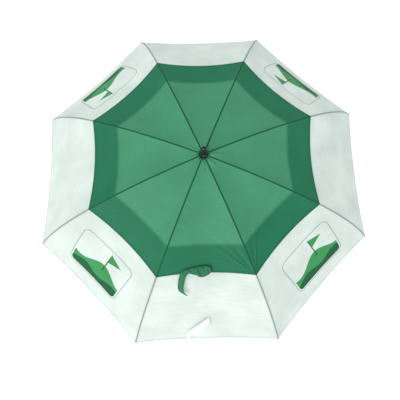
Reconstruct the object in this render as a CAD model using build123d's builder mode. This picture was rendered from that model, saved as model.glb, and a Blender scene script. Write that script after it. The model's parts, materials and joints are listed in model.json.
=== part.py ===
from build123d import *
import os
from math import acos, asin, atan2, cos, degrees, hypot, radians, sin, sqrt, tan

# Golf umbrella with a vented double canopy, shown open. Millimetres, +Z up.
# The origin is the centre of the handle's flat end, and the shaft is on Z.

# ---- Driving dimensions ----------------------------------------------------

rib_count = 8
first_rib_angle = 22.5            # azimuth of rib 1, so that two panels face X and two face Y

shaft_radius = 7.0
shaft_wall = 0.8
shaft_end_height = 4.0            # lower end of the tube above the handle's end
stop_bead_radius = 1.2            # rolled bead that stops the runner
stop_bead_sink = 0.3              # its centre lies this far inside the tube's skin
stop_bead_gap = 2.5               # its centre above the runner's top, canopy open

crown_pivot_height = 935.0        # height of the ring of rib pivots
runner_open_drop = 130.0          # runner pivots below the crown pivots, canopy open

inner_rib_reach = 407.0           # horizontal reach, crown pivot to knee
knee_slope = 18.4                 # degrees below level at the knee
outer_rib_reach = 241.0           # horizontal reach, knee to tip
tip_slope = 51.4                  # degrees below level at the tip
stretcher_joint_reach = 318.0     # horizontal reach, crown pivot to stretcher joint
stretcher_joint_drop = 5.5        # stretcher joint below the rib's centre line
knee_closed_radius = 37.0         # where the knee lies when the ribs are folded
tip_closed_radius = 22.0          # where the tip lies when the ribs are folded

rib_width = 4.6                   # pressed steel channel
rib_height = 4.5
rib_wall = 0.8
rib_end_setback = 9.0             # the channel's web stops this far from the crown pivot and the knee
crown_blade_length = 16.0         # flattened end that carries the crown eye
crown_blade_trim = 0.4            # the blade is this much lower than the channel
outer_rib_radius = 1.8            # glass-fibre rod
rod_setback = 6.5                 # the rod's round part starts this far from the knee
rod_overlap = 3.0                 # the flattened eye runs this far into the round part
rod_blade_share = 0.8             # the flattened eye's height there, as a share of the rod's
stretcher_width = 3.6             # pressed steel channel
stretcher_height = 4.0
stretcher_wall = 0.7
stretcher_setback = 6.5           # the channel stops this far from each pivot
stretcher_blade_length = 12.0     # flattened end that carries an eye
eye_radius = 2.6                  # rounded ends of ribs and stretchers
crown_eye_width = 2.4
rivet_radius = 0.9
rivet_head_radius = 1.8
rivet_head_height = 0.7
crown_wire_radius = 0.75
pin_clearance = 0.3               # running fit on the radius of a pin or wire
side_clearance = 0.5              # each side of an eye in its slot
joint_side_clearance = 0.3        # each side of a stretcher's eye inside the rib's channel
knee_side_clearance = 0.4         # each side of the rod's eye inside the rib's channel

crown_hub_wall = 1.6              # hub outside the shaft
crown_eye_gap = 0.8               # a rib's eye clears the hub by this
crown_flange_margin = 5.0         # flange beyond the pivots
crown_flange_top = 3.2            # above the pivots
crown_flange_bottom = 6.0         # below the pivots
crown_hub_bottom = 14.0           # below the pivots
crown_chamfer = 0.8

runner_clearance = 0.35           # runner bore over the shaft
runner_wall = 3.15
runner_collar_margin = 1.5        # collar outside the sleeve
runner_collar_height = 14.0
runner_hub_margin = 1.9           # hub outside the sleeve, between the eyes
runner_eye_gap = 0.5              # a stretcher's eye clears the hub by this
runner_head_margin = 4.0          # head beyond the pivots
runner_head_half_height = 5.0
runner_length_below = 75.0        # lower end of the runner below its pivots
runner_length_above = 8.0
runner_chamfer = 1.0
window_bottom_below = 60.0        # the runner's window, below its pivots

catch_width = 2.0
catch_nose_height = 14.0
catch_square_top = 3.5            # square part of the nose that holds the runner
catch_flush_gap = 0.2             # nose below the skin of the shaft when pressed
catch_leaf_thickness = 1.2
catch_leaf_length = 34.0
catch_slot_margin = 0.4
catch_slot_end_gap = 1.0          # slot beyond each end of the nose
catch_gap = 0.6                   # play between a catch and the runner it holds

grip_radius = 16.0
grip_bottom = 5.0
grip_top = 172.0
grip_top_rounding = 5.0
grip_bottom_rounding = 1.0
cap_margin = 1.0                  # the cap is this much inside the grip
cap_rounding = 2.0
cap_plug_depth = 22.0

ferrule_base_radius = 15.5        # its dome has this radius too
ferrule_top_radius = 8.5
ferrule_height = 56.0
ferrule_skirt = 3.0
ferrule_neck_wall = 2.0           # its neck's wall, round the shaft
ferrule_neck_rounding = 4.0       # hollow curve between the dome and the neck
ferrule_bore_depth = 24.0
ferrule_end_gap = 1.0             # the shaft stops this far below the bore's end
rosette_radius = 21.0
rosette_thickness = 1.0
rosette_gap = 0.3                 # rosette above the cloth

canopy_thickness = 0.8
cloth_clearance = 0.5             # lower canopy above the ribs and their tips
layer_gap = 0.4                   # upper canopy above the lower one
lower_canopy_start_reach = 318.0  # inner edge of the lower canopy, from the crown pivots
canopy_hole_clearance = 1.4       # hole in the cloth round the shaft
canopy_gap = 0.15                 # each wedge stops this far from the middle of its panel
canopy_tip_setback = 1.5          # the cloth stops this far before the rib's end, along the rib

tip_barrel_wall = 0.5
tip_barrel_length = 10.0
tip_ball_margin = 1.0             # ball beyond the barrel
tip_bore_clearance = 0.1

strap_thickness = 2.0
strap_width = 22.0
strap_clearance = 0.5             # straps above the lower canopy
strap_hem_gap = 3.0               # the upper strap starts this far outside the upper hem
strap_hem_lap = 1.0               # the hanging strap starts this far above the hem
upper_strap_left = -98.0          # along the hem, from the middle of the front panel
upper_strap_right = 12.0
upper_strap_drop = 76.0           # length that lies on the lower canopy
lower_strap_left = -72.0
lower_strap_right = 12.0
lower_strap_hang = 80.0           # length that hangs from the outer hem

# ---- Geometry worked out from them -----------------------------------------

panel_half = radians(180 / rib_count)
rib_angles = [first_rib_angle + 360 / rib_count * n for n in range(rib_count)]

# Rings round the shaft: each follows from the one inside it.
crown_hub_radius = shaft_radius + crown_hub_wall
crown_pivot_radius = crown_hub_radius + crown_eye_gap + eye_radius
crown_flange_radius = crown_pivot_radius + crown_flange_margin
runner_bore = shaft_radius + runner_clearance
runner_sleeve_radius = runner_bore + runner_wall
runner_collar_radius = runner_sleeve_radius + runner_collar_margin
runner_hub_radius = runner_sleeve_radius + runner_hub_margin
runner_pivot_radius = runner_hub_radius + runner_eye_gap + eye_radius
runner_head_radius = runner_pivot_radius + runner_head_margin
catch_flush_radius = shaft_radius - catch_flush_gap
cap_radius = grip_radius - cap_margin
canopy_hole_radius = shaft_radius + canopy_hole_clearance

# What fits inside the rib's channel and on the rod.
cheek_gap = rib_width - 2 * rib_wall
joint_eye_width = cheek_gap - 2 * joint_side_clearance
knee_eye_width = cheek_gap - 2 * knee_side_clearance
tip_barrel_radius = outer_rib_radius + tip_bore_clearance + tip_barrel_wall
tip_ball_radius = tip_barrel_radius + tip_ball_margin

# Layers over the ribs, as offsets from the rib's centre line to each underside.
lower_canopy_offset = max(rib_height / 2, tip_barrel_radius) + cloth_clearance
upper_canopy_offset = lower_canopy_offset + canopy_thickness + layer_gap
strap_lift = lower_canopy_offset + canopy_thickness + strap_clearance

inner_rib_bend = inner_rib_reach / sin(radians(knee_slope))
outer_rib_bend = outer_rib_reach / (sin(radians(tip_slope)) - sin(radians(knee_slope)))
crown_pivot = (crown_pivot_radius, crown_pivot_height)
inner_centre = (crown_pivot_radius, crown_pivot_height - inner_rib_bend)
knee = (
    inner_centre[0] + inner_rib_bend * sin(radians(knee_slope)),
    inner_centre[1] + inner_rib_bend * cos(radians(knee_slope)),
)
outer_centre = (
    knee[0] - outer_rib_bend * sin(radians(knee_slope)),
    knee[1] - outer_rib_bend * cos(radians(knee_slope)),
)


def inner_point(slope, offset=0.0):
    """Point of the inner rib's arc where it falls at this slope, moved out by an offset."""
    bend = inner_rib_bend + offset
    return (inner_centre[0] + bend * sin(slope), inner_centre[1] + bend * cos(slope))


def outer_point(slope, offset=0.0):
    """Point of the outer rib's arc where it falls at this slope, moved out by an offset."""
    bend = outer_rib_bend + offset
    return (outer_centre[0] + bend * sin(slope), outer_centre[1] + bend * cos(slope))


joint_slope = asin(stretcher_joint_reach / inner_rib_bend)
joint_pivot = inner_point(joint_slope, -stretcher_joint_drop)
tip_point = outer_point(radians(tip_slope))
runner_pivot_height = crown_pivot_height - runner_open_drop
runner_pivot = (runner_pivot_radius, runner_pivot_height)
stretcher_length = hypot(joint_pivot[0] - runner_pivot[0], joint_pivot[1] - runner_pivot[1])
stretcher_rise = atan2(joint_pivot[1] - runner_pivot[1], joint_pivot[0] - runner_pivot[0])

# The fold: the ribs turn down about the crown until the knees lie at their
# closed radius, and the runner slides down until the stretchers allow that.
inner_chord = hypot(knee[0] - crown_pivot[0], knee[1] - crown_pivot[1])
inner_chord_slope = atan2(crown_pivot[1] - knee[1], knee[0] - crown_pivot[0])
rib_turn = acos((knee_closed_radius - crown_pivot_radius) / inner_chord) - inner_chord_slope
joint_reach = hypot(joint_pivot[0] - crown_pivot[0], joint_pivot[1] - crown_pivot[1])
joint_slope_open = atan2(crown_pivot[1] - joint_pivot[1], joint_pivot[0] - crown_pivot[0])
joint_closed_slope = joint_slope_open + rib_turn
joint_closed = (
    crown_pivot[0] + joint_reach * cos(joint_closed_slope),
    crown_pivot[1] - joint_reach * sin(joint_closed_slope),
)
runner_closed_height = joint_closed[1] - sqrt(
    stretcher_length**2 - (joint_closed[0] - runner_pivot_radius) ** 2
)
runner_travel = runner_pivot_height - runner_closed_height
stretcher_closed_rise = atan2(
    joint_closed[1] - runner_closed_height, joint_closed[0] - runner_pivot_radius
)
stretcher_turn = stretcher_closed_rise - stretcher_rise + rib_turn
outer_chord = hypot(tip_point[0] - knee[0], tip_point[1] - knee[1])
outer_chord_slope = atan2(knee[1] - tip_point[1], tip_point[0] - knee[0])
outer_turn = acos((tip_closed_radius - knee_closed_radius) / outer_chord) - outer_chord_slope
knee_turn = rib_turn - outer_turn
tip_closed_height = (
    crown_pivot_height
    - inner_chord * sin(inner_chord_slope + rib_turn)
    - outer_chord * sin(outer_chord_slope + outer_turn)
)

rosette_height = crown_pivot_height + upper_canopy_offset + canopy_thickness + rosette_gap
ferrule_seat = rosette_height + rosette_thickness
ferrule_neck_radius = shaft_radius + ferrule_neck_wall
ferrule_dome_angle = acos(ferrule_neck_radius / ferrule_base_radius)
ferrule_neck_height = ferrule_seat + ferrule_skirt + ferrule_base_radius * sin(ferrule_dome_angle)
shaft_top = ferrule_seat + ferrule_bore_depth - ferrule_end_gap

catch_top_open = runner_pivot_height - runner_length_below - catch_gap
window_height = catch_nose_height + 2 * catch_gap
catch_top_closed = runner_closed_height - window_bottom_below + catch_nose_height + catch_gap

print(f"open radius {tip_point[0]:.1f}, rim height {tip_point[1]:.1f}")
rib_length = inner_rib_bend * radians(knee_slope) + outer_rib_bend * radians(tip_slope - knee_slope)
print(f"rib along its bend {rib_length:.1f}")
print(f"stretcher {stretcher_length:.1f}, runner travel {runner_travel:.3f}")
print(f"turns: rib {degrees(rib_turn):.4f}, knee {degrees(knee_turn):.4f}")
print(f"stretcher turns {degrees(stretcher_turn):.4f} against the rib")
print(f"closed: runner pivots {runner_closed_height:.2f}, tips {tip_closed_height:.1f}")

# ---- Helpers ---------------------------------------------------------------

os.makedirs("parts", exist_ok=True)


def save(shape, label):
    """Name a finished piece and write its STEP file."""
    shape.label = label
    export_step(shape, f"parts/{label}.step")


def save_around(name, *shapes):
    """Write one turned copy of a node's solids for each rib, numbered from 1."""
    for number, angle in enumerate(rib_angles, start=1):
        turned = [shape.rotate(Axis.Z, angle) for shape in shapes]
        save(turned[0] if len(turned) == 1 else Compound(children=turned), f"{name}_{number}")


def front_of(width):
    """Plane that faces -Y, half a width in front of the rib's own plane."""
    return Plane.XZ.offset(width / 2)


# ---- Shaft -----------------------------------------------------------------

stop_bead_height = runner_pivot_height + runner_length_above + stop_bead_gap
catch_slot_height = catch_nose_height + 2 * catch_slot_end_gap

with BuildPart() as shaft:
    with BuildSketch(Plane.XY.offset(shaft_end_height)):
        Circle(shaft_radius)
        Circle(shaft_radius - shaft_wall, mode=Mode.SUBTRACT)
    extrude(amount=shaft_top - shaft_end_height)
    # A rolled bead stops the runner when the canopy is taut.
    with BuildSketch(Plane.XZ):
        with Locations((shaft_radius - stop_bead_sink, stop_bead_height)):
            Circle(stop_bead_radius)
        with Locations((shaft_radius / 2 - shaft_wall / 2, stop_bead_height)):
            Rectangle(shaft_radius - shaft_wall, 4 * stop_bead_radius, mode=Mode.SUBTRACT)
    revolve(axis=Axis.Z)
    # The slots that the two catches come out of.
    for catch_top in (catch_top_open, catch_top_closed):
        with BuildSketch(Plane.YZ):
            with Locations((0, catch_top - catch_nose_height / 2)):
                Rectangle(catch_width + 2 * catch_slot_margin, catch_slot_height)
        extrude(amount=2 * shaft_radius, mode=Mode.SUBTRACT)
save(shaft.part, "shaft")

# ---- Catches: a leaf inside the tube and a nose through its slot --------------


def make_catch(nose_top):
    """Sprung catch with a square top that holds the runner and a sloped side to ride under."""
    root = -catch_leaf_thickness
    leaf_bottom = nose_top - catch_nose_height - catch_leaf_length
    with BuildPart() as catch:
        with BuildSketch(front_of(catch_width)):
            with BuildLine():
                Polyline(
                    (root - catch_leaf_thickness, leaf_bottom),
                    (root, leaf_bottom),
                    (root, nose_top - catch_nose_height),
                    (catch_flush_radius, nose_top - catch_square_top),
                    (catch_flush_radius, nose_top),
                    (root - catch_leaf_thickness, nose_top),
                    close=True,
                )
            make_face()
        extrude(amount=-catch_width)
    return catch.part


save(make_catch(catch_top_open), "top_catch")
save(make_catch(catch_top_closed), "bottom_catch")

# ---- Crown: slotted ring with a wire that the ribs turn on ---------------------

crown_slot_width = crown_eye_width + 2 * side_clearance

with BuildPart() as crown:
    with BuildSketch(Plane.XY.offset(crown_pivot_height - crown_hub_bottom)):
        Circle(crown_hub_radius)
    extrude(amount=crown_hub_bottom + crown_flange_top)
    with BuildSketch(Plane.XY.offset(crown_pivot_height - crown_flange_bottom)):
        Circle(crown_flange_radius)
    extrude(amount=crown_flange_bottom + crown_flange_top)
    chamfer(crown.edges().filter_by(GeomType.CIRCLE).group_by(SortBy.RADIUS)[-1], crown_chamfer)
    with BuildSketch(Plane.XY.offset(crown_pivot_height - crown_hub_bottom)):
        Circle(shaft_radius)
    extrude(amount=crown_hub_bottom + crown_flange_top, mode=Mode.SUBTRACT)
    # One slot for each rib eye.
    slot_length = crown_flange_radius - crown_hub_radius + crown_flange_margin
    with BuildSketch(Plane.XY.offset(crown_pivot_height - crown_flange_bottom)):
        with PolarLocations(crown_hub_radius + slot_length / 2, rib_count, start_angle=first_rib_angle):
            Rectangle(slot_length, crown_slot_width)
    extrude(amount=crown_flange_bottom + crown_flange_top, mode=Mode.SUBTRACT)
    # The groove that the wire lies in, open at the top.
    with BuildSketch(Plane.XY.offset(crown_pivot_height - crown_wire_radius)):
        Circle(crown_pivot_radius + crown_wire_radius)
        Circle(crown_pivot_radius - crown_wire_radius, mode=Mode.SUBTRACT)
    extrude(amount=crown_wire_radius + crown_flange_top, mode=Mode.SUBTRACT)
save(crown.part, "crown")

with BuildPart() as crown_wire:
    with BuildSketch(Plane.XZ):
        with Locations(crown_pivot):
            Circle(crown_wire_radius)
    revolve(axis=Axis.Z)
save(crown_wire.part, "crown_wire")

# ---- Rosette and ferrule above the canopy ------------------------------------

with BuildPart() as rosette:
    with BuildSketch(Plane.XY.offset(rosette_height)):
        Circle(rosette_radius)
        Circle(shaft_radius, mode=Mode.SUBTRACT)
    extrude(amount=rosette_thickness)
save(rosette.part, "rosette")

with BuildPart() as ferrule:
    with BuildSketch(Plane.XZ):
        with BuildLine():
            top_edge = ferrule_seat + ferrule_height - ferrule_top_radius
            dome_edge = ferrule_seat + ferrule_skirt
            Line((0, ferrule_seat), (ferrule_base_radius, ferrule_seat))
            Line((ferrule_base_radius, ferrule_seat), (ferrule_base_radius, dome_edge))
            CenterArc((0, dome_edge), ferrule_base_radius, 0, degrees(ferrule_dome_angle))
            Line((ferrule_neck_radius, ferrule_neck_height), (ferrule_top_radius, top_edge))
            CenterArc((0, top_edge), ferrule_top_radius, 0, 90)
            Line((0, ferrule_seat + ferrule_height), (0, ferrule_seat))
        make_face()
    revolve(axis=Axis.Z)
    neck_edge = ferrule.edges().sort_by(lambda edge: abs(edge.center().Z - ferrule_neck_height))[0]
    fillet(neck_edge, radius=ferrule_neck_rounding)
    with BuildSketch(Plane.XY.offset(ferrule_seat)):
        Circle(shaft_radius)
    extrude(amount=ferrule_bore_depth, mode=Mode.SUBTRACT)
save(ferrule.part, "ferrule")

# ---- Runner ------------------------------------------------------------------

runner_bottom = runner_pivot_height - runner_length_below
runner_slot_width = joint_eye_width + 2 * side_clearance

with BuildPart() as runner:
    with BuildSketch(Plane.XY.offset(runner_bottom)):
        Circle(runner_sleeve_radius)
    extrude(amount=runner_length_below + runner_length_above)
    with BuildSketch(Plane.XY.offset(runner_bottom)):
        Circle(runner_collar_radius)
    extrude(amount=runner_collar_height)
    chamfer(runner.edges().filter_by(GeomType.CIRCLE).group_by(SortBy.RADIUS)[-1], runner_chamfer)
    with BuildSketch(Plane.XY.offset(runner_pivot_height - runner_head_half_height)):
        Circle(runner_head_radius)
    extrude(amount=2 * runner_head_half_height)
    chamfer(runner.edges().filter_by(GeomType.CIRCLE).group_by(SortBy.RADIUS)[-1], runner_chamfer)
    # One slot for each stretcher, open above, below and outside.
    slot_length = runner_head_radius - runner_hub_radius + runner_head_margin
    with BuildSketch(Plane.XY.offset(runner_pivot_height - runner_head_half_height)):
        with PolarLocations(runner_hub_radius + slot_length / 2, rib_count, start_angle=first_rib_angle):
            Rectangle(slot_length, runner_slot_width)
    extrude(amount=2 * runner_head_half_height, mode=Mode.SUBTRACT)
    with BuildSketch(Plane.XY.offset(runner_bottom)):
        Circle(runner_bore)
    extrude(amount=runner_length_below + runner_length_above, mode=Mode.SUBTRACT)
    # The window that the bottom catch holds.
    with BuildSketch(Plane.YZ):
        window_middle = runner_pivot_height - window_bottom_below + window_height / 2
        with Locations((0, window_middle)):
            Rectangle(catch_width + 2 * catch_gap, window_height)
    extrude(amount=2 * runner_collar_radius, mode=Mode.SUBTRACT)
save(runner.part, "runner")

# ---- Handle --------------------------------------------------------------------

with BuildPart() as handle_grip:
    with BuildSketch(Plane.XY.offset(grip_bottom)):
        Circle(grip_radius)
    extrude(amount=grip_top - grip_bottom)
    fillet(handle_grip.edges().sort_by(Axis.Z)[-1], grip_top_rounding)
    fillet(handle_grip.edges().sort_by(Axis.Z)[0], grip_bottom_rounding)
    with BuildSketch(Plane.XY.offset(grip_bottom)):
        Circle(shaft_radius)
    extrude(amount=grip_top - grip_bottom, mode=Mode.SUBTRACT)
save(handle_grip.part, "handle_grip")

with BuildPart() as handle_cap:
    with BuildSketch():
        Circle(cap_radius)
    extrude(amount=grip_bottom)
    fillet(handle_cap.edges().sort_by(Axis.Z)[0], cap_rounding)
    with BuildSketch(Plane.XY.offset(shaft_end_height)):
        Circle(shaft_radius)
        Circle(shaft_radius - shaft_wall, mode=Mode.SUBTRACT)
    extrude(amount=grip_bottom - shaft_end_height, mode=Mode.SUBTRACT)
    with BuildSketch(Plane.XY.offset(grip_bottom)):
        Circle(shaft_radius - shaft_wall)
    extrude(amount=cap_plug_depth)
save(handle_cap.part, "handle_cap")

# ---- Inner rib: pressed channel with an eye, lugs for the stretcher and a fork --

channel_start_slope = asin(rib_end_setback / inner_rib_bend)
web_end_slope = radians(knee_slope) - rib_end_setback / inner_rib_bend


def across_inner_rib(slope):
    """Plane square to the inner rib: local x is sideways, local y is out along its radius."""
    start = inner_point(slope)
    return Plane(
        origin=(start[0], 0, start[1]),
        x_dir=(0, 1, 0),
        z_dir=(cos(slope), 0, -sin(slope)),
    )


inner_axis = Axis((inner_centre[0], 0, inner_centre[1]), (0, 1, 0))
side_offset = (rib_width - rib_wall) / 2
knee_eye_radius = rib_height / 2

with BuildPart() as inner_rib:
    # Channel, open below.
    with BuildSketch(across_inner_rib(channel_start_slope)):
        Rectangle(rib_width, rib_height)
        with Locations((0, -rib_wall)):
            Rectangle(cheek_gap, rib_height, mode=Mode.SUBTRACT)
    revolve(axis=inner_axis, revolution_arc=degrees(web_end_slope - channel_start_slope))
    # Its sides carry on past the web, and round the knee pivot.
    with BuildSketch(across_inner_rib(web_end_slope)):
        with Locations((side_offset, 0), (-side_offset, 0)):
            Rectangle(rib_wall, rib_height)
    revolve(axis=inner_axis, revolution_arc=knee_slope - degrees(web_end_slope))
    # Lugs reach down to the stretcher joint.
    for plane in (front_of(rib_width), front_of(2 * rib_wall - rib_width)):
        with BuildSketch(plane):
            with Locations(knee):
                Circle(knee_eye_radius)
            with Locations(joint_pivot):
                Circle(eye_radius)
            with BuildLine():
                lug_half = eye_radius / inner_rib_bend
                Polyline(
                    inner_point(joint_slope - lug_half, -stretcher_joint_drop),
                    inner_point(joint_slope - 2 * lug_half, 0),
                    inner_point(joint_slope + 2 * lug_half, 0),
                    inner_point(joint_slope + lug_half, -stretcher_joint_drop),
                    close=True,
                )
            make_face()
        extrude(amount=-rib_wall)
    # Eye that turns on the crown wire.
    with BuildSketch(front_of(crown_eye_width)):
        with Locations(crown_pivot):
            Circle(eye_radius)
        with Locations((crown_pivot_radius + crown_blade_length / 2, crown_pivot_height)):
            Rectangle(crown_blade_length, rib_height - crown_blade_trim)
    extrude(amount=-crown_eye_width)
    with BuildSketch(front_of(2 * rib_width)):
        with Locations(crown_pivot):
            Circle(crown_wire_radius + pin_clearance)
        with Locations(joint_pivot, knee):
            Circle(rivet_radius)
    extrude(amount=-2 * rib_width, mode=Mode.SUBTRACT)


def make_rivet(centre):
    """Rivet through both sides of the channel, with a head outside each."""
    with BuildPart() as rivet:
        with BuildSketch(front_of(rib_width + 2 * rivet_head_height)):
            with Locations(centre):
                Circle(rivet_radius)
        extrude(amount=-rib_width - 2 * rivet_head_height)
        for plane in (front_of(rib_width + 2 * rivet_head_height), front_of(-rib_width)):
            with BuildSketch(plane):
                with Locations(centre):
                    Circle(rivet_head_radius)
            extrude(amount=-rivet_head_height)
    return rivet.part


# ---- Outer rib: glass-fibre rod with a flattened eye at the knee ---------------

rod_start_slope = radians(knee_slope) + rod_setback / outer_rib_bend
rod_start = outer_point(rod_start_slope)
blade_end_slope = rod_start_slope + rod_overlap / outer_rib_bend
blade_half_height = outer_rib_radius * rod_blade_share

with BuildPart() as outer_rib:
    with BuildSketch(front_of(knee_eye_width)):
        with Locations(knee):
            Circle(knee_eye_radius)
        with BuildLine():
            Polyline(
                outer_point(radians(knee_slope), -outer_rib_radius),
                outer_point(blade_end_slope, -blade_half_height),
                outer_point(blade_end_slope, blade_half_height),
                outer_point(radians(knee_slope), outer_rib_radius),
                close=True,
            )
        make_face()
    extrude(amount=-knee_eye_width)
    rod_plane = Plane(
        origin=(rod_start[0], 0, rod_start[1]),
        x_dir=(0, 1, 0),
        z_dir=(cos(rod_start_slope), 0, -sin(rod_start_slope)),
    )
    with BuildSketch(rod_plane):
        Circle(outer_rib_radius)
    revolve(
        axis=Axis((outer_centre[0], 0, outer_centre[1]), (0, 1, 0)),
        revolution_arc=tip_slope - degrees(rod_start_slope),
    )
    with BuildSketch(front_of(rib_width)):
        with Locations(knee):
            Circle(rivet_radius + pin_clearance)
    extrude(amount=-rib_width, mode=Mode.SUBTRACT)

# ---- Tip: moulded cap on the rod's end, with a ball that the cloth is sewn under --

with BuildPart() as rib_tip:
    tip_plane = Plane(
        origin=(tip_point[0], 0, tip_point[1]),
        x_dir=(0, 1, 0),
        z_dir=(cos(radians(tip_slope)), 0, -sin(radians(tip_slope))),
    )
    with BuildSketch(tip_plane.offset(-tip_barrel_length)):
        Circle(tip_barrel_radius)
    extrude(amount=tip_barrel_length + tip_ball_radius)
    with Locations(tip_plane.offset(tip_ball_radius)):
        Sphere(tip_ball_radius)
    with BuildSketch(tip_plane.offset(-tip_barrel_length)):
        Circle(outer_rib_radius + tip_bore_clearance)
    extrude(amount=tip_barrel_length, mode=Mode.SUBTRACT)

# ---- Stretcher: straight channel from the runner to the rib --------------------

stretcher_direction = (cos(stretcher_rise), sin(stretcher_rise))
stretcher_plane = Plane(
    origin=(runner_pivot[0], 0, runner_pivot[1]),
    x_dir=(stretcher_direction[0], 0, stretcher_direction[1]),
    z_dir=(0, -1, 0),
)

with BuildPart() as stretcher:
    with BuildSketch(stretcher_plane.offset(stretcher_width / 2)):
        with Locations((stretcher_length / 2, 0)):
            Rectangle(stretcher_length - 2 * stretcher_setback, stretcher_height)
    extrude(amount=-stretcher_width)
    with BuildSketch(stretcher_plane.offset(stretcher_width / 2 - stretcher_wall)):
        with Locations((stretcher_length / 2, stretcher_wall)):
            Rectangle(stretcher_length, stretcher_height)
    extrude(amount=2 * stretcher_wall - stretcher_width, mode=Mode.SUBTRACT)
    with BuildSketch(stretcher_plane.offset(joint_eye_width / 2)):
        for pivot_distance, tail in ((0, 1), (stretcher_length, -1)):
            with Locations((pivot_distance, 0)):
                Circle(eye_radius)
            with Locations((pivot_distance + tail * stretcher_blade_length / 2, 0)):
                Rectangle(stretcher_blade_length, stretcher_height)
            with Locations((pivot_distance, 0)):
                Circle(rivet_radius + pin_clearance, mode=Mode.SUBTRACT)
    extrude(amount=-joint_eye_width)

# ---- Canopies: one wedge of each for every rib, out to the middle of its panels --

panel_reach = cos(panel_half)


def panel_point(point_on, slope, offset):
    """Point of a rib's bend brought in to the middle line of a flat panel."""
    radius, height = point_on(slope, offset)
    return (radius * panel_reach, height)


def cloth_edge(stretches, offset):
    """Points of one face of the cloth along a panel's middle line, three to each bend."""
    return [
        [panel_point(point_on, a + (b - a) * share, offset) for share in (0, 0.5, 1)]
        for point_on, a, b in stretches
    ]


def make_wedge(stretches, offset, inner_radius=None):
    """Cloth from the middle of one panel over a rib to the middle of the next."""
    low = cloth_edge(stretches, offset)
    high = cloth_edge(stretches, offset + canopy_thickness)
    middle_plane = Plane(
        origin=(0, 0, 0),
        x_dir=(cos(panel_half), -sin(panel_half), 0),
        z_dir=(-sin(panel_half), -cos(panel_half), 0),
    )
    with BuildPart() as wedge:
        with BuildSketch(middle_plane.offset(-canopy_gap)):
            with BuildLine():
                for points in low + high:
                    ThreePointArc(*points)
                if inner_radius is None:
                    Line(low[0][0], high[0][0])
                else:
                    hole_edge = [(inner_radius, low[0][0][1]), (inner_radius, high[0][0][1])]
                    Polyline(low[0][0], *hole_edge, high[0][0])
                Line(low[-1][-1], high[-1][-1])
            make_face()
        extrude(amount=-(tip_point[0] + canopy_thickness) * tan(panel_half))
        split(bisect_by=Plane.XZ, keep=Keep.TOP)
        mirror(about=Plane.XZ)
    return wedge.part


cloth_end_slope = radians(tip_slope) - canopy_tip_setback / outer_rib_bend
upper_stretches = [(inner_point, 0, radians(knee_slope))]
lower_stretches = [
    (inner_point, asin(lower_canopy_start_reach / inner_rib_bend), radians(knee_slope)),
    (outer_point, radians(knee_slope), cloth_end_slope),
]
upper_wedge = make_wedge(upper_stretches, upper_canopy_offset, canopy_hole_radius)
lower_wedge = make_wedge(lower_stretches, lower_canopy_offset)

# ---- Write the parts that repeat around the crown -------------------------------

save_around("inner_rib", inner_rib.part, make_rivet(joint_pivot), make_rivet(knee))
save_around("outer_rib", outer_rib.part)
save_around("rib_tip", rib_tip.part)
save_around("stretcher", stretcher.part)
save_around("upper_canopy", upper_wedge)
save_around("lower_canopy", lower_wedge)

# ---- Tie straps: one at each hem of the front panel ------------------------------

# Local x runs out from the shaft towards the front, and local y is up.
strap_plane = Plane(origin=(0, 0, 0), x_dir=(0, -1, 0), z_dir=(-1, 0, 0))


def make_strip(slope_from, slope_to, left, right):
    """Strip of strap that lies on the front panel between two places along its hem."""
    slopes = [slope_from, (slope_from + slope_to) / 2, slope_to]
    low = [panel_point(outer_point, slope, strap_lift) for slope in slopes]
    high = [panel_point(outer_point, slope, strap_lift + strap_thickness) for slope in slopes]
    with BuildPart() as strip:
        with BuildSketch(strap_plane.offset(-right)):
            with BuildLine():
                ThreePointArc(*low)
                ThreePointArc(*high)
                Line(low[0], high[0])
                Line(low[-1], high[-1])
            make_face()
        extrude(amount=right - left)
    return strip.part


hem_slope = radians(knee_slope) + strap_hem_gap / outer_rib_bend
hem_band = strap_width / outer_rib_bend
drop_slope = hem_slope + upper_strap_drop / outer_rib_bend
band_edge = hem_slope + hem_band
past_strap = 2 * upper_strap_drop

with BuildPart() as upper_tie_strap:
    add(make_strip(hem_slope, drop_slope, upper_strap_left, upper_strap_right))
    # Only one width of it hangs down: the rest follows the hem.
    with BuildSketch(strap_plane.offset(-upper_strap_right - strap_width)):
        with BuildLine():
            under = panel_point(outer_point, band_edge, 0)
            over = panel_point(outer_point, band_edge, strap_lift + 2 * strap_thickness)
            Polyline(
                under,
                over,
                (over[0] + past_strap, over[1] - past_strap / 4),
                (under[0] + past_strap, under[1] - past_strap),
                close=True,
            )
        make_face()
    extrude(amount=upper_strap_right - upper_strap_left, mode=Mode.SUBTRACT)
save(upper_tie_strap.part, "upper_tie_strap")

outer_hem = panel_point(outer_point, cloth_end_slope, strap_lift + strap_thickness)

with BuildPart() as lower_tie_strap:
    add(make_strip(cloth_end_slope - hem_band, cloth_end_slope, lower_strap_left, lower_strap_right))
    hang_middle = outer_hem[1] + strap_hem_lap - lower_strap_hang / 2
    with BuildSketch(strap_plane.offset(-lower_strap_left - strap_width)):
        with Locations((outer_hem[0] - strap_thickness / 2, hang_middle)):
            Rectangle(strap_thickness, lower_strap_hang)
    extrude(amount=strap_width)
save(lower_tie_strap.part, "lower_tie_strap")
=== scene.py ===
# %% [markdown]
# # A golf umbrella with a vented double canopy
#
# The steel and plastic parts come ready from the CAD model. What is made here is
# everything sewn: a green upper canopy, a white lower canopy that starts under it, a
# gathered rosette and two tie straps. Every length below is in metres, with Z up and
# the handle's flat end at the origin.

# %% Load the fixed frame
import json
from math import asin, atan2, cos, hypot, pi, radians, sin

import bpy
import numpy as np
from mathutils import Matrix, Vector


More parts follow.
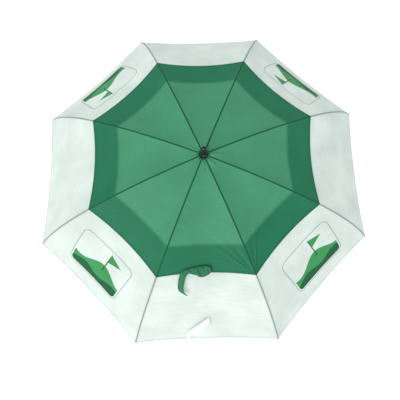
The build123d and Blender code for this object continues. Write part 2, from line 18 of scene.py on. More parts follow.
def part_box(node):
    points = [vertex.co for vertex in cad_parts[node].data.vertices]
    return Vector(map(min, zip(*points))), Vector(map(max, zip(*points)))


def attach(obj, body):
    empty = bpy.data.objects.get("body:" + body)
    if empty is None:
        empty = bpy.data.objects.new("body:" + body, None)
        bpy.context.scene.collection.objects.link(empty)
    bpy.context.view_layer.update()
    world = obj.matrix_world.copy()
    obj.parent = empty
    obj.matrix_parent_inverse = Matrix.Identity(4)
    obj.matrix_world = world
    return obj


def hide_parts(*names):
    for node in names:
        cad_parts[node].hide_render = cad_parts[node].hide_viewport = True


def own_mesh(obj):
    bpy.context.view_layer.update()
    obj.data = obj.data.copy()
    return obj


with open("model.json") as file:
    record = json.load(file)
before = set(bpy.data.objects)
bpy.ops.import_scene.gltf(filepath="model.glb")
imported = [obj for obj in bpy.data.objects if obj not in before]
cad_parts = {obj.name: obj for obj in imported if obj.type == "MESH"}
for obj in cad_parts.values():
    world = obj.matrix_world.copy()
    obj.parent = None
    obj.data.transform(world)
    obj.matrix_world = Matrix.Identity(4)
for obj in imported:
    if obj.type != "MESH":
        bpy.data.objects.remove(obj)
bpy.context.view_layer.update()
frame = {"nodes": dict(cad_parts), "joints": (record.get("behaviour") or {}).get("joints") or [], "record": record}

scene = bpy.context.scene

# %% [markdown]
# ## The line that the cloth follows
#
# On the real umbrella the canopy takes its shape from its ribs, so the first step is to
# read the ribs from the frame. A rib is two tangent arcs: a pressed steel channel from
# the crown to the knee, and a bent glass-fibre rod from the knee to the tip. The hinges
# give the crown pivot and the knee, and the far end of the rod gives the tip.

# %% Measure one rib
joints = {joint["name"]: joint for joint in frame["joints"]}
rib_count = sum(name.startswith("rib_hinge_") for name in joints)
ribs = range(1, rib_count + 1)
panel_half = pi / rib_count


def node_points(name):
    """Every vertex of a CAD node, as rows of x, y and z."""
    mesh = frame["nodes"][name].data
    flat = np.empty(len(mesh.vertices) * 3, np.float32)
    mesh.vertices.foreach_get("co", flat)
    return flat.reshape(-1, 3).astype(float)


def radius_and_height(point):
    """A point's distance from the shaft's axis, and its height."""
    return hypot(point[0], point[1]), point[2]


rod_points = node_points("outer_rib_1")
rod_reach = np.linalg.norm(rod_points - joints["rib_flex_1"]["pos_m"], axis=1)
rod_face = rod_points[rod_reach > rod_reach.max() - 0.0012]
rod_end = (rod_face.min(axis=0) + rod_face.max(axis=0)) / 2

crown_radius, crown_height = radius_and_height(joints["rib_hinge_1"]["pos_m"])
knee_radius, knee_height = radius_and_height(joints["rib_flex_1"]["pos_m"])
tip_radius, tip_height = radius_and_height(rod_end)
rib_azimuth = {rib: atan2(*joints[f"rib_hinge_{rib}"]["pos_m"][1::-1]) for rib in ribs}

# %% Work out its two arcs
inner_run, inner_drop = knee_radius - crown_radius, crown_height - knee_height
inner_bend = (inner_run**2 + inner_drop**2) / (2 * inner_drop)
knee_slope = asin(inner_run / inner_bend)
tip_slope = 2 * atan2(knee_height - tip_height, tip_radius - knee_radius) - knee_slope
outer_bend = (tip_radius - knee_radius) / (sin(tip_slope) - sin(knee_slope))
knee_along = inner_bend * knee_slope
tip_along = knee_along + outer_bend * (tip_slope - knee_slope)
print(f"rib: knee at {knee_along:.3f} m, tip at {tip_along:.3f} m along it")


def rib_curve(along, lift):
    """Radius and height of a line that runs beside the rib.

    The slope grows evenly along each arc, and the point is the arc's point moved out by
    the lift, square to the slope. Inside the crown pivot the line runs on level.
    """
    inner_slope = np.clip(along, 0, knee_along) / inner_bend
    slope = inner_slope + np.clip(along - knee_along, 0, None) / outer_bend
    radius = crown_radius + np.minimum(along, 0) + inner_bend * np.sin(inner_slope)
    radius = radius + outer_bend * (np.sin(slope) - np.sin(inner_slope))
    height = crown_height - inner_bend * (1 - np.cos(inner_slope))
    height = height - outer_bend * (np.cos(inner_slope) - np.cos(slope))
    return radius + lift * np.sin(slope), height + lift * np.cos(slope), slope


# %% [markdown]
# ## How stretched cloth sits between two ribs
#
# Each panel is a triangle of cloth held along both ribs. The ribs bend it one way, so
# tension makes it bow the other way between them: the middle of a panel lies a little
# inside the straight line from rib to rib, and its hem is pulled up into a shallow arc.
# A cloth simulation would find the same saddle, but a formula gives it exactly, keeps
# the two halves of each panel in step, and costs no time, so the cloth here is a
# function of two parameters: the distance along the rib, and the place across the panel
# from -1 at one rib to +1 at the next.

# %% The sizes of the two canopies
cloth = 0.00035                # one layer of cloth, drawn a little thick so that it is a solid
upper_lift = 0.0041            # underside of the upper canopy above the rib's centre line
lower_lift = 0.0029
hub_hole = -0.0036             # the cloth's hole round the shaft, along the rib from its pivot
upper_hem = knee_along + 0.002
upper_scallop = 0.010          # how far the middle of the upper hem is pulled in
lower_hem = tip_along
lower_scallop = 0.001
flap_edge = knee_along - 0.106   # inner edge of the lower canopy, under the upper one
flap_scallop = 0.003
lap_edge = knee_along - 0.008    # where the flap laps the visible part of the lower canopy
lap_scallop = 0.024
lap_width = 0.008
print_along = 0.560              # middle of the print on every other panel, along the rib
print_shift = {1: -0.012, 3: 0.012, 5: -0.018, 7: 0.030}   # no two were printed quite alike
upper_sag_depth, upper_sag_middle, upper_sag_reach = 0.011, 0.30, 0.34
sag_start = 0.12               # the sag has grown to its full amount this far from the crown
lower_sag_depth, lower_sag_middle, lower_sag_reach = 0.0175, 0.48, 0.23
lower_sag_loss = 0.008         # how much shallower the lower sag is at its reach


def bow(across):
    """One in the middle of a panel and nought at its ribs, as a parabola."""
    return 1 - across**2


def smooth_step(value, low, high):
    """Rises from 0 to 1 between two values, level at both ends."""
    share = np.clip((value - low) / (high - low), 0, 1)
    return share * share * (3 - 2 * share)


def upper_sag(along):
    """How far the upper canopy's middle lies inside the chord: a parabola along the rib."""
    from_middle = (along - upper_sag_middle) / upper_sag_reach
    return upper_sag_depth * (1 - from_middle**2) * smooth_step(along, 0, sag_start)


def lower_sag(along):
    """The same for the lower canopy, always a few millimetres deeper, which opens the vent."""
    return lower_sag_depth - lower_sag_loss * ((along - lower_sag_middle) / lower_sag_reach) ** 2


# %% [markdown]
# ## Wrinkles
#
# Three kinds show on a real canopy. Sharp folds fan out of the corners, where the hem is
# tied down to the rib. Short puckers ring the crown, where eight panels are gathered
# into one small hole. And the whole cloth is slightly uneven. Each is a sum of waves
# that dies away from its source, and all are nought at the ribs, where the cloth is sewn.

# %% Waves in the cloth
random = np.random.default_rng(12)
corner_pull = dict(zip(ribs, random.uniform(0.25, 0.7, rib_count)))
corner_pull[7] = 2.1           # the corner where the cloth is tied tightest
corner_phase = dict(zip(ribs, random.uniform(0, 2 * pi, rib_count)))
uneven = {rib: random.uniform(-1, 1, (5, 4)) for rib in ribs}
fold_height = {"upper": 0.0009, "lower": 0.0005}
wave_height = {"upper": 0.0008, "lower": 0.0011}
pucker_height = 0.0014
no_folds_past = 1.5            # angle from the rib, in radians, close to the hem's direction


def corner_folds(across_m, up, rib, fold_turn=0.3, reach=0.032):
    """Folds that fan out of a corner.

    They are waves of the angle about the corner, times the distance over its reach times
    a falling exponential of it, so that they start at nothing, peak at that reach and
    fade; they also fade towards the hem's own direction.
    """
    distance = np.hypot(across_m, up)
    angle = np.arctan2(across_m, up)
    wave = np.cos(2 * pi * angle / fold_turn + corner_phase[rib])
    wave = wave + 0.4 * np.cos(3 * pi * angle / fold_turn + corner_phase[rib])
    fade = smooth_step(no_folds_past - angle, 0, 0.9)
    return corner_pull[rib] * wave * fade * distance / reach * np.exp(1 - distance / reach)


def soft_waves(along, across, panel):
    """Slow unevenness: five sines of random size, slant and start, times the bow."""
    total = 0
    for size, turn, step, start in uneven[panel]:
        phase = along * (22 + 14 * turn) + 5 * start
        total = total + size * np.sin(phase + across * (3 + 2 * step))
    return total / 3 * bow(across)


def crown_puckers(radius, azimuth):
    """Radial ripples, full 32 to 36 mm from the axis and gone by 80 mm, deepest on one side."""
    ring = smooth_step(radius, 0.020, 0.032) * (1 - smooth_step(radius, 0.036, 0.080))
    wave = np.cos(15 * azimuth) + 0.8 * np.cos(9 * azimuth + 1.3) + 0.4 * np.sin(23 * azimuth)
    return ring * (0.8 + 0.5 * np.cos(azimuth - 0.3)) * np.clip(wave + 0.6, 0, None)


# %% The cloth as one function of two parameters
def panel_pitch(slope):
    """Angle of the chord plane between two ribs of one slope, in the panel's middle."""
    return np.arctan2(np.sin(slope), np.cos(slope) * cos(panel_half))


def panel_axes(panel):
    """Outward and sideways directions of the panel between a rib and the next one."""
    azimuth = rib_azimuth[panel] + panel_half
    return np.array([cos(azimuth), sin(azimuth), 0]), np.array([-sin(azimuth), cos(azimuth), 0])


def cloth_points(panel, along, across, layer):
    """Underside of a canopy.

    The straight chord between two rib points, moved square to the panel by minus the sag
    times the bow, plus the waves. The layer is "upper" or "lower".
    """
    lift, sag = (upper_lift, upper_sag) if layer == "upper" else (lower_lift, lower_sag)
    radius, height, slope = rib_curve(along, lift)
    pitch = panel_pitch(slope)
    depth = -sag(along) * bow(across)
    half = radius * sin(panel_half)
    hem = upper_hem if layer == "upper" else lower_hem
    for side, rib in ((-1, panel), (1, panel % rib_count + 1)):
        folds = corner_folds(half * (1 - side * across), hem - along, rib)
        pinned = smooth_step(1 - side * across, 0, 0.06)
        depth = depth + fold_height[layer] * folds * pinned
    depth = depth + wave_height[layer] * soft_waves(along, across, panel)
    if layer == "upper":
        azimuth = rib_azimuth[panel] + panel_half * (1 + across)
        depth = depth + pucker_height * crown_puckers(radius, azimuth)
    outward, sideways = panel_axes(panel)
    out = radius * cos(panel_half) + depth * np.sin(pitch)
    up = height + depth * np.cos(pitch)
    points = out[..., None] * outward + (across * half)[..., None] * sideways
    return points + up[..., None] * np.array([0, 0, 1.0])


# %% [markdown]
# ## From grids of points to closed sheets
#
# Every sewn piece is a grid with a top and an underside a layer of cloth apart, closed
# by a strip round its edge, so that it is a real solid. The top's normals come from the
# same grid with one more column at each side, so two pieces that meet in the middle of a
# panel shade as one cloth.

# %% Grid helpers
def grid_faces(rows, columns):
    """Quads of a grid. From outside its rows run down and its columns to the right."""
    corner = np.arange(rows * columns).reshape(rows, columns)
    quads = (corner[:-1, :-1], corner[1:, :-1], corner[1:, 1:], corner[:-1, 1:])
    return np.stack(quads, axis=-1).reshape(-1, 4)


def grid_normals(points):
    """Unit normals of a grid: the step down crossed with the step to the right."""
    normal = np.cross(np.gradient(points, axis=0), np.gradient(points, axis=1))
    return normal / np.linalg.norm(normal, axis=-1, keepdims=True)


def closed_sheet(name, top, under, normals, flat, marks=None):
    """A mesh object with a top grid, an underside and an edge strip.

    The flat places in metres become its UV map, and each mark becomes an attribute.
    """
    rows, columns = top.shape[:2]
    count = rows * columns
    front = grid_faces(rows, columns)
    index = np.arange(count).reshape(rows, columns)
    edge = np.concatenate([index[:, 0], index[-1, 1:], index[-2::-1, -1], index[0, -2:0:-1]])
    after = np.roll(edge, -1)
    rim = np.stack([after, edge, edge + count, after + count], axis=-1)
    faces = np.concatenate([front, front[:, ::-1] + count, rim])
    points = np.concatenate([top.reshape(-1, 3), under.reshape(-1, 3)])
    mesh = bpy.data.meshes.new(name)
    mesh.from_pydata(points.tolist(), [], faces.tolist())
    mesh.polygons.foreach_set("use_smooth", np.ones(len(faces), bool))
    twice = np.concatenate([flat.reshape(-1, 2)] * 2)
    uv = mesh.uv_layers.new(name="flat")
    uv.data.foreach_set("uv", twice[faces.ravel()].astype(np.float32).ravel())
    for mark, values in (marks or {}).items():
        attribute = mesh.attributes.new(mark, "FLOAT", "POINT")
        attribute.data.foreach_set("value", np.tile(values.ravel(), 2).astype(np.float32))
    outside = mesh.attributes.new("outside", "FLOAT", "POINT")
    outside.data.foreach_set("value", np.repeat([1, 0], count).astype(np.float32))
    both = np.concatenate([normals.reshape(-1, 3), -normals.reshape(-1, 3)])
    mesh.normals_split_custom_set_from_vertices(both.tolist())
    piece = bpy.data.objects.new(name, mesh)
    scene.collection.objects.link(piece)
    return piece


def fold_with_rib(piece, body):
    """Let a sewn piece ride on a body, with a mesh of its own."""
    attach(piece, body)
    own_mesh(piece)


# %% [markdown]
# ## One piece of each canopy for every rib
#
# A real canopy is eight triangles sewn at the ribs. When it folds, each rib carries the
# cloth on both sides of it. So a piece here is a rib's seam and half a panel each side,
# and it rides on the rib. The seam is a felled one, a narrow ridge of doubled cloth, and
# the hem is turned up and sewn, so the cloth is thicker there.

# %% Build the wedges
seam_half = 0.0026
hem_width = 0.008
seam_columns = np.array([0, 0.0016, seam_half, 0.0036])
hem_rows = np.array([1.15, 1, 0.85, 0.3, 0])    # rows at the turned hem, in hem widths from it
narrow = 0.02                  # where half a panel is narrower than this, the seam narrows too
seam_extra = 0.9               # extra thickness along the seam, in layers of cloth
# In the green's colour, the soft edge of the doubled mark becomes a painted shade line at the lower canopy's inner
# edge.
doubled_from, doubled_to = -0.007, 0.009    # the flap's edge shows through as a soft line
flap_dip = 0.0005              # how far the lower cloth's hidden edge lies under the flap


def wedge_grid(rib, start, end, layer, rows, columns, hem_end):
    """Top, underside, normals and flat places of the cloth on both sides of a rib.

    Rows go from start to end, which are functions of the place across the panel. Columns
    stand a few millimetres apart beside the seam and evenly from there to the panel's
    middle, with one more beyond it for the normals.
    """
    share = np.linspace(0, 1, rows)
    if hem_end:
        band = hem_width / (end(1.0) - start(1.0))
        share = np.concatenate([share[share < 1 - 1.5 * band], 1 - band * hem_rows])
    rib_before = (rib - 2) % rib_count + 1
    at_rib = start(1.0) + share * (end(1.0) - start(1.0))
    half = (rib_curve(at_rib, 0)[0] * sin(panel_half))[:, None]
    near = seam_columns[None, :] * np.minimum(1, half / narrow)
    step = (half - near[:, -1:]) / columns
    away = np.concatenate([near, near[:, -1:] + step * np.arange(1, columns + 2)], axis=1)
    sides = []
    for panel, side in ((rib_before, 1), (rib, -1)):
        across = side * (1 - away / half)
        along = start(across) + share[:, None] * (end(across) - start(across))
        beside = side * (np.abs(across) - 1) * rib_curve(along, 0)[0] * sin(panel_half)
        sides.append([cloth_points(panel, along, across, layer), along, beside, end(across) - along])
    base, along, beside, to_hem = (
        np.concatenate([left[:, ::-1], right[:, 1:]], axis=1) for left, right in zip(*sides)
    )
    on_seam = 1 - smooth_step(np.abs(beside), seam_half * 0.7, seam_half * 1.3)
    thick = cloth * (1 + seam_extra * on_seam)
    if hem_end:
        thick = thick + cloth * (1 - smooth_step(to_hem, hem_width * 0.85, hem_width * 1.15))
    top = base + thick[..., None] * grid_normals(base)
    normals = grid_normals(top)
    inside = (slice(None), slice(1, -1))
    flat = np.stack([beside, along], axis=-1)
    return [grid[inside] for grid in (top, base, normals, flat, to_hem)]


def hem_line(at_rib, scallop):
    """Distance along the rib of an edge that is pulled in by the scallop times the bow."""
    return lambda across: at_rib - scallop * bow(np.asarray(across, float))


hub_edge = hem_line(hub_hole, 0)
green_edge = hem_line(upper_hem, upper_scallop)
flap_start = hem_line(flap_edge, flap_scallop)
flap_end = hem_line(lap_edge + lap_width, lap_scallop)
lap_start = hem_line(lap_edge, lap_scallop)
white_edge = hem_line(lower_hem, lower_scallop)


def flat_size(grid):
    """Width, length and area of the cloth before it is sewn, from its flat places."""
    width, length = np.ptp(grid[..., 0]), np.ptp(grid[..., 1])
    area = (np.ptp(grid[..., 0], axis=1)[:-1] * np.diff(grid[:, 0, 1])).sum()
    return (float(width), float(length)), float(area)


def make_wedge(kind, rib, start, end, layer, body, rows, columns, hem_end=True):
    """One sewn piece on both sides of a rib, carried by a body."""
    top, under, normals, flat, to_hem = wedge_grid(rib, start, end, layer, rows, columns, hem_end)
    beside, along = flat[..., 0], flat[..., 1]
    half = rib_curve(along, 0)[0] * sin(panel_half)
    across = 1 - np.abs(beside) / half
    # The prints are on the odd panels, so a rib's print is on the side towards one of those.
    from_middle = beside - half if rib % 2 else beside + half
    panel_of_print = rib if rib % 2 else (rib - 2) % rib_count + 1
    marks = {
        "to_hem": to_hem if hem_end else to_hem + 1,
        "doubled": smooth_step(along - flap_start(across), doubled_from, doubled_to),
        "print_x": from_middle - print_shift[panel_of_print],
        "print_y": print_along - along,
    }
    if kind == "lower_cloth":
        # Its hidden edge dips under the flap that laps it.
        dip = flap_dip * (1 - smooth_step(along - lap_start(across), lap_width, 2 * lap_width))
        top, under = top - dip[..., None] * normals, under - dip[..., None] * normals
    piece = closed_sheet(f"{kind}_{rib}", top, under, normals, flat, marks)
    size, area = flat_size(flat)
    fold_with_rib(piece, body)
    return piece, size


upper_cloths, lower_cloths, lower_flaps = [], [], []
for rib in ribs:
    piece, upper_size = make_wedge(
        "upper_cloth", rib, hub_edge, green_edge, "upper", f"rib_{rib}", rows=84, columns=40
    )
    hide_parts(f"upper_canopy_{rib}")
    upper_cloths.append(piece)
    piece, lower_size = make_wedge(
        "lower_cloth", rib, lap_start, white_edge, "lower", f"rib_end_{rib}", rows=62, columns=46
    )
    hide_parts(f"lower_canopy_{rib}")
    lower_cloths.append(piece)
    piece, flap_size = make_wedge(
        "lower_flap", rib, flap_start, flap_end, "lower", f"rib_{rib}", rows=20, columns=34, hem_end=False
    )
    lower_flaps.append(piece)
print("flat sizes", np.round([upper_size, lower_size, flap_size], 3).tolist())

# %% [markdown]
# ## The rosette under the ferrule
#
# Where eight points of cloth meet, makers cover the hole with a small gathered disc that
# the ferrule clamps. Its free edge stands in ruffles. It is a closed profile, out along
# the top and back along the underside, carried right round the shaft.

# %% Build the rosette
def ring_surface(name, points):
    """A mesh whose grid of points closes on itself both ways."""
    rows, columns = points.shape[:2]
    corner = np.arange(rows * columns).reshape(rows, columns)
    down, right = np.roll(corner, -1, axis=0), np.roll(corner, -1, axis=1)
    opposite = np.roll(down, -1, axis=1)
    faces = np.stack([corner, down, opposite, right], axis=-1).reshape(-1, 4)
    mesh = bpy.data.meshes.new(name)
    mesh.from_pydata(points.reshape(-1, 3).tolist(), [], faces.tolist())
    mesh.polygons.foreach_set("use_smooth", np.ones(len(faces), bool))
    corner_points = points.reshape(-1, 3)[faces.reshape(-1)]
    # Laid flat the disc is its own plan, moved sideways past where a seam would be drawn.
    flat_places = corner_points[:, :2] + 10 * seam_half
    mesh.uv_layers.new(name="flat").data.foreach_set("uv", flat_places.reshape(-1))
    for mark, amount in {"to_hem": 2 * hem_width, "doubled": 1.0}.items():
        values = np.full(rows * columns, amount)
        mesh.attributes.new(mark, "FLOAT", "POINT").data.foreach_set("value", values)
    piece = bpy.data.objects.new(name, mesh)
    scene.collection.objects.link(piece)
    return piece


ferrule_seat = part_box("ferrule")[0].z
clamp_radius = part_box("ferrule")[1].x
ruffle_reach = 0.0215
ruffle_turns = 13
ruffle_height = 0.0009
disc_under_seat = 0.0005       # the disc's top lies this far inside the ferrule's foot
edge_uneven = 0.035


def rosette_height(radius, azimuth):
    """Flat under the ferrule; outside it a wave round the disc that grows towards the edge."""
    free = smooth_step(radius, clamp_radius, ruffle_reach)
    wave = np.sin(ruffle_turns * azimuth) + 0.4 * np.sin(9 * azimuth + 1)
    return ferrule_seat - disc_under_seat + free * (0.0004 + ruffle_height * wave)


turn = np.linspace(0, 2 * pi, 312, endpoint=False)
edge_radius = ruffle_reach * (1 - edge_uneven * (1 + np.sin(ruffle_turns * turn + 0.8)))
out = np.linspace(0, 1, 16)[:, None]
hub_radius = crown_radius + hub_hole
disc_radius = hub_radius + out * (edge_radius - hub_radius)
disc_top = rosette_height(disc_radius, turn)
profile_radius = np.concatenate([disc_radius, disc_radius[::-1]])
profile_height = np.concatenate([disc_top, disc_top[::-1] - cloth])
rosette = ring_surface(
    "rosette_cloth",
    np.stack([profile_radius * np.cos(turn), profile_radius * np.sin(turn), profile_height], axis=-1),
)
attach(rosette, "root")
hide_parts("rosette")
print("rosette ruffles", ruffle_turns)

# %% [markdown]
# ## The tie straps
#
# A tie strap is a flat band of folded cloth, sewn to a hem, that wraps the closed
# umbrella. When the umbrella is open it lies loose. Its shape is chance, so its two edges
# are drawn by a few points: how far sideways, how far along the panel, and how far above
# the cloth, in millimetres. The band is the ruled surface between the two edges.

# %% A band between two edges
strap_panel = rib_count - 2    # the front panel
strap_rib = strap_panel        # the straps are sewn to this rib's half of the hem
strap_thickness = 0.0011
bunched_to, loose_from = 0.25, 0.5    # shares of the band's length


def smooth_line(points, steps):
    """Catmull-Rom line: each span leaves and arrives along the chord of its neighbours."""
    points = np.array(points, float)
    points = np.vstack([2 * points[0] - points[1], points, 2 * points[-1] - points[-2]])
    place = np.linspace(0, len(points) - 3 - 1e-9, steps)
    span = place.astype(int)
    part = (place - span)[:, None]
    before, first, second, after = (points[span + offset] for offset in range(4))
    bend = 2 * before - 5 * first + 4 * second - after
    twist = 3 * (first - second) + after - before
    return first + 0.5 * ((second - before) * part + bend * part**2 + twist * part**3)


def above_cloth(place):
    """World points of places given as sideways, along and lift above the lower canopy."""
    sideways, along, lift = np.moveaxis(place, -1, 0)
    radius, _, slope = rib_curve(along, 0)
    across = sideways / (radius * sin(panel_half))
    pitch = panel_pitch(slope)
    outward = panel_axes(strap_panel)[0]
    square_to_panel = np.sin(pitch)[..., None] * outward
    square_to_panel[..., 2] += np.cos(pitch)
    return cloth_points(strap_panel, along, across, "lower") + lift[..., None] * square_to_panel


def make_strap(
    name, first_edge, second_edge, node, body, puff, gathers=0.0, steps=180, across_steps=17
):
    """A band between two edges, raised in its middle by the puff times a half sine.

    Gathers add a wave along its first part, where it is bunched up at the hem.
    """
    share = np.linspace(0, 1, across_steps)[None, :, None]
    edges = (smooth_line(edge, steps)[:, None, :] for edge in (first_edge, second_edge))
    left, right = (edge / 1000 for edge in edges)
    place = left * (1 - share) + right * share
    path = np.linspace(0, 1, steps)[:, None]
    bunched = 1 - smooth_step(path, bunched_to, loose_from)
    place[..., 2] += puff * np.sin(pi * share[..., 0])
    folds = np.sin(2 * pi * (8 * path + 0.5 * share[..., 0]))
    folds = folds + 0.6 * np.sin(2 * pi * (13.3 * path + 0.2))
    place[..., 2] += gathers * bunched * folds
    middle = above_cloth(place)
    normals = grid_normals(middle)
    around = np.sin(pi * share) ** 0.5 * 0.5 + 0.5
    top, under = (middle + side * strap_thickness / 2 * around * normals for side in (1, -1))
    width = np.linalg.norm(middle[:, -1] - middle[:, 0], axis=-1)
    step = np.linalg.norm(np.diff(middle[:, across_steps // 2], axis=0), axis=-1)
    length = step.cumsum()
    band = float(width.mean())
    across, down = np.broadcast_arrays(share[..., 0] * band, np.r_[0, length][:, None])
    # The band has no seam along it, so its flat places start past the seam's half width.
    flat = np.stack([across + 2 * seam_half, down], axis=-1)
    to_edge = np.minimum(across, band - across)
    marks = {"to_hem": to_edge + hem_width / 2, "doubled": np.ones_like(across)}
    piece = closed_sheet(name, top, under, normals, flat, marks)
    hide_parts(node)
    fold_with_rib(piece, body)
    print(f"{name}: {1000 * band:.0f} mm by {1000 * length[-1]:.0f} mm")
    return piece


# %% Lay the green strap over the upper hem
green_strap = make_strap(
    "upper_strap_cloth",
    [
        (14, 384, 17), (-4, 380, 17), (-22, 382, 15), (-40, 385, 16), (-60, 390, 16), (-79, 399, 14),
        (-88, 418, 12), (-92, 444, 9), (-93, 462, 7), (-87, 475, 7), (-74, 484, 9), (-63, 486, 11),
    ],
    [
        (16, 403, 15), (6, 413, 11), (-12, 423, 8), (-33, 415, 9), (-46, 409, 11), (-55, 406, 13),
        (-64, 412, 15), (-69, 427, 16), (-73, 447, 16), (-74, 465, 17), (-69, 476, 20), (-61, 481, 25),
    ],
    "upper_tie_strap",
    f"rib_{strap_rib}",
    puff=0.003,
    gathers=0.0016,
)

# %% Let the white strap turn over the outer hem and hang
white_strap = make_strap(
    "lower_strap_cloth",
    [
        (8, 588, 5), (-11, 602, 9), (-27, 616, 11), (-42, 631, 10), (-55, 646, 8), (-66, 662, 5),
        (-71, 686, 4), (-70, 712, 4), (-64, 738, -2), (-40, 756, -12), (-5, 758, -20),
    ],
    [
        (12, 626, 5), (-4, 640, 10), (-20, 654, 12), (-36, 667, 12), (-50, 678, 9), (-56, 688, 6),
        (-58, 699, 5), (-57, 712, 4), (-52, 727, 0), (-36, 738, -6), (-5, 736, -16),
    ],
    "lower_tie_strap",
    f"rib_end_{strap_rib}",
    puff=0.002,
)

# %% [markdown]
# ## Building materials in code
#
# Each finish starts from what the real thing is. Two helpers do most of the work: one
# turns a colour as it is written on a swatch into the linear values that a shader wants,
# and one adds a node, sets its properties and fills its inputs, linking those that are
# sockets.

# %% Material helpers
def linear(swatch, alpha=1.0):
    """The sRGB curve undone: a straight line near black, and a 2.4 power above it."""
    shares = np.array([int(swatch[place:place + 2], 16) for place in (1, 3, 5)]) / 255
    return (*np.where(shares <= 0.04045, shares / 12.92, ((shares + 0.055) / 1.055) ** 2.4), alpha)


def add_node(tree, kind, inputs=(), **properties):
    """Add a node, set its properties, then link each input that is a socket and set the rest."""
    node = tree.nodes.new(kind)
    for name, value in properties.items():
        setattr(node, name, value)
    for key, value in inputs.items() if isinstance(inputs, dict) else enumerate(inputs):
        if isinstance(value, bpy.types.NodeSocket):
            tree.links.new(value, node.inputs[key])
        else:
            node.inputs[key].default_value = value
    return node


def math_node(tree, operation, *values):
    """The result of one operation on values or sockets."""
    return add_node(tree, "ShaderNodeMath", values, operation=operation).outputs[0]


def new_material(name):
    """An empty node material: its tree and its output node."""
    material = bpy.data.materials.new(name)
    material.use_nodes = True
    material.node_tree.nodes.clear()
    output = add_node(material.node_tree, "ShaderNodeOutputMaterial")
    return material, material.node_tree, output


def wear_finish(piece, material):
    """Give a piece one material."""
    piece.data.materials.clear()
    piece.data.materials.append(material)


# %% [markdown]
# ## Pongee, the canopy cloth
#
# Umbrella cloth is a fine plain weave of polyester, called pongee. It is thin, so part of
# the light comes through it: where it is doubled over the lower canopy it looks darker
# and bluer, and in the green that darker band is also painted into the colour as shade.
# It is matt with a faint sheen, its weft threads vary in thickness, and the felled seams
# and turned hems show as narrow darker lines. Real threads lie 0.2 mm apart. They are
# drawn here 1.5 mm apart, and the slubs 5 mm wide, so that they show.

# %% The pattern of a woven cloth
thread_spacing = 0.0015
wave_period = pi / 10          # a wave texture's period at a scale of one
slub_scale = (14, 200, 1)      # to a metre: slubs 70 mm long and 5 mm wide
blotch_scale = 11
crease_scale = 38
hem_shade, stitch_shade = 0.3, 0.5     # how much of the seam's colour these lines take
stitch_line = (0.0004, 0.0009)         # full and gone, from the middle of the stitches
noise_low, noise_high = 0.3, 0.7    # most of a noise texture's values lie between these


def cloth_pattern(tree, cloth_color, seam_color):
    """Colour and bump of a woven cloth: slubs, blotches, thread bump, seam and hem lines."""
    flat = add_node(tree, "ShaderNodeUVMap", uv_map="flat").outputs[0]
    place = add_node(tree, "ShaderNodeSeparateXYZ", [flat]).outputs
    stretch = add_node(tree, "ShaderNodeMapping", {"Vector": flat, "Scale": slub_scale})
    slubs = add_node(tree, "ShaderNodeTexNoise", {"Vector": stretch.outputs[0], "Scale": 1, "Detail": 2})
    solid = add_node(tree, "ShaderNodeTexCoord").outputs["Object"]
    blotches = add_node(tree, "ShaderNodeTexNoise", {"Vector": solid, "Scale": blotch_scale, "Detail": 3})
    ends = (noise_low, noise_high)
    shade = add_node(tree, "ShaderNodeMapRange", [slubs.outputs[0], *ends, 0.97, 1.03])
    tone = add_node(tree, "ShaderNodeMapRange", [blotches.outputs[0], *ends, 0.95, 1.05])
    both = math_node(tree, "MULTIPLY", shade.outputs[0], tone.outputs[0])
    tinted = add_node(tree, "ShaderNodeVectorMath", [cloth_color, both], operation="MULTIPLY")

    from_seam = math_node(tree, "ABSOLUTE", place[0])
    seam = add_node(tree, "ShaderNodeMapRange", [from_seam, seam_half * 0.8, seam_half * 1.25, 1, 0])
    to_hem = add_node(tree, "ShaderNodeAttribute", attribute_name="to_hem").outputs["Fac"]
    hem = add_node(tree, "ShaderNodeMapRange", [to_hem, hem_width * 0.9, hem_width * 1.1, hem_shade, 0])
    from_stitch = math_node(tree, "SUBTRACT", to_hem, hem_width * 0.85)
    from_stitch = math_node(tree, "ABSOLUTE", from_stitch)
    stitch = add_node(tree, "ShaderNodeMapRange", [from_stitch, *stitch_line, stitch_shade, 0])
    lines = math_node(tree, "MAXIMUM", seam.outputs[0], hem.outputs[0])
    lines = math_node(tree, "MAXIMUM", lines, stitch.outputs[0])
    # A colour mix takes its two colours at inputs 6 and 7, and gives its result at output 2.
    inputs = {0: lines, 6: tinted.outputs[0], 7: seam_color}
    color = add_node(tree, "ShaderNodeMix", inputs, data_type="RGBA")

    threads = [
        add_node(
            tree,
            "ShaderNodeTexWave",
            {"Vector": flat, "Scale": wave_period / thread_spacing},
            bands_direction=direction,
        ).outputs[1]
        for direction in "XY"
    ]
    weave = math_node(tree, "ADD", *threads)
    creases = add_node(tree, "ShaderNodeTexNoise", {"Vector": solid, "Scale": crease_scale, "Detail": 3})
    crumple = add_node(
        tree, "ShaderNodeBump", {"Strength": 0.35, "Distance": 0.002, "Height": creases.outputs[0]}
    )
    bump = add_node(
        tree,
        "ShaderNodeBump",
        {"Strength": 0.2, "Distance": 0.0002, "Height": weave, "Normal": crumple.outputs[0]},
    )
    return color.outputs[2], bump.outputs[0]


def cloth_shader(name, tint, seam_color, light_through):
    """A matt, slightly fuzzy cloth that lets a share of the light through.

    The tint is a function that adds nodes to the tree and returns a colour.
    """
    material, tree, output = new_material(name)
    color, normal = cloth_pattern(tree, tint(tree), seam_color)
    face = add_node(
        tree,
        "ShaderNodeBsdfPrincipled",
        {
            "Base Color": color,
            "Roughness": 0.55,
            "IOR": 1.5,
            "Specular IOR Level": 0.25,
            "Sheen Weight": 0.02,
            "Sheen Roughness": 0.45,
            "Normal": normal,
        },
    )
    back = add_node(tree, "ShaderNodeBsdfTranslucent", {"Color": color, "Normal": normal})
    mixed = add_node(tree, "ShaderNodeMixShader", [light_through, face.outputs[0], back.outputs[0]])
    tree.links.new(mixed.outputs[0], output.inputs["Surface"])
    return material


# %% Dye the upper canopy green, with painted shade where the lower canopy lies under it
green_light_through = 0.15


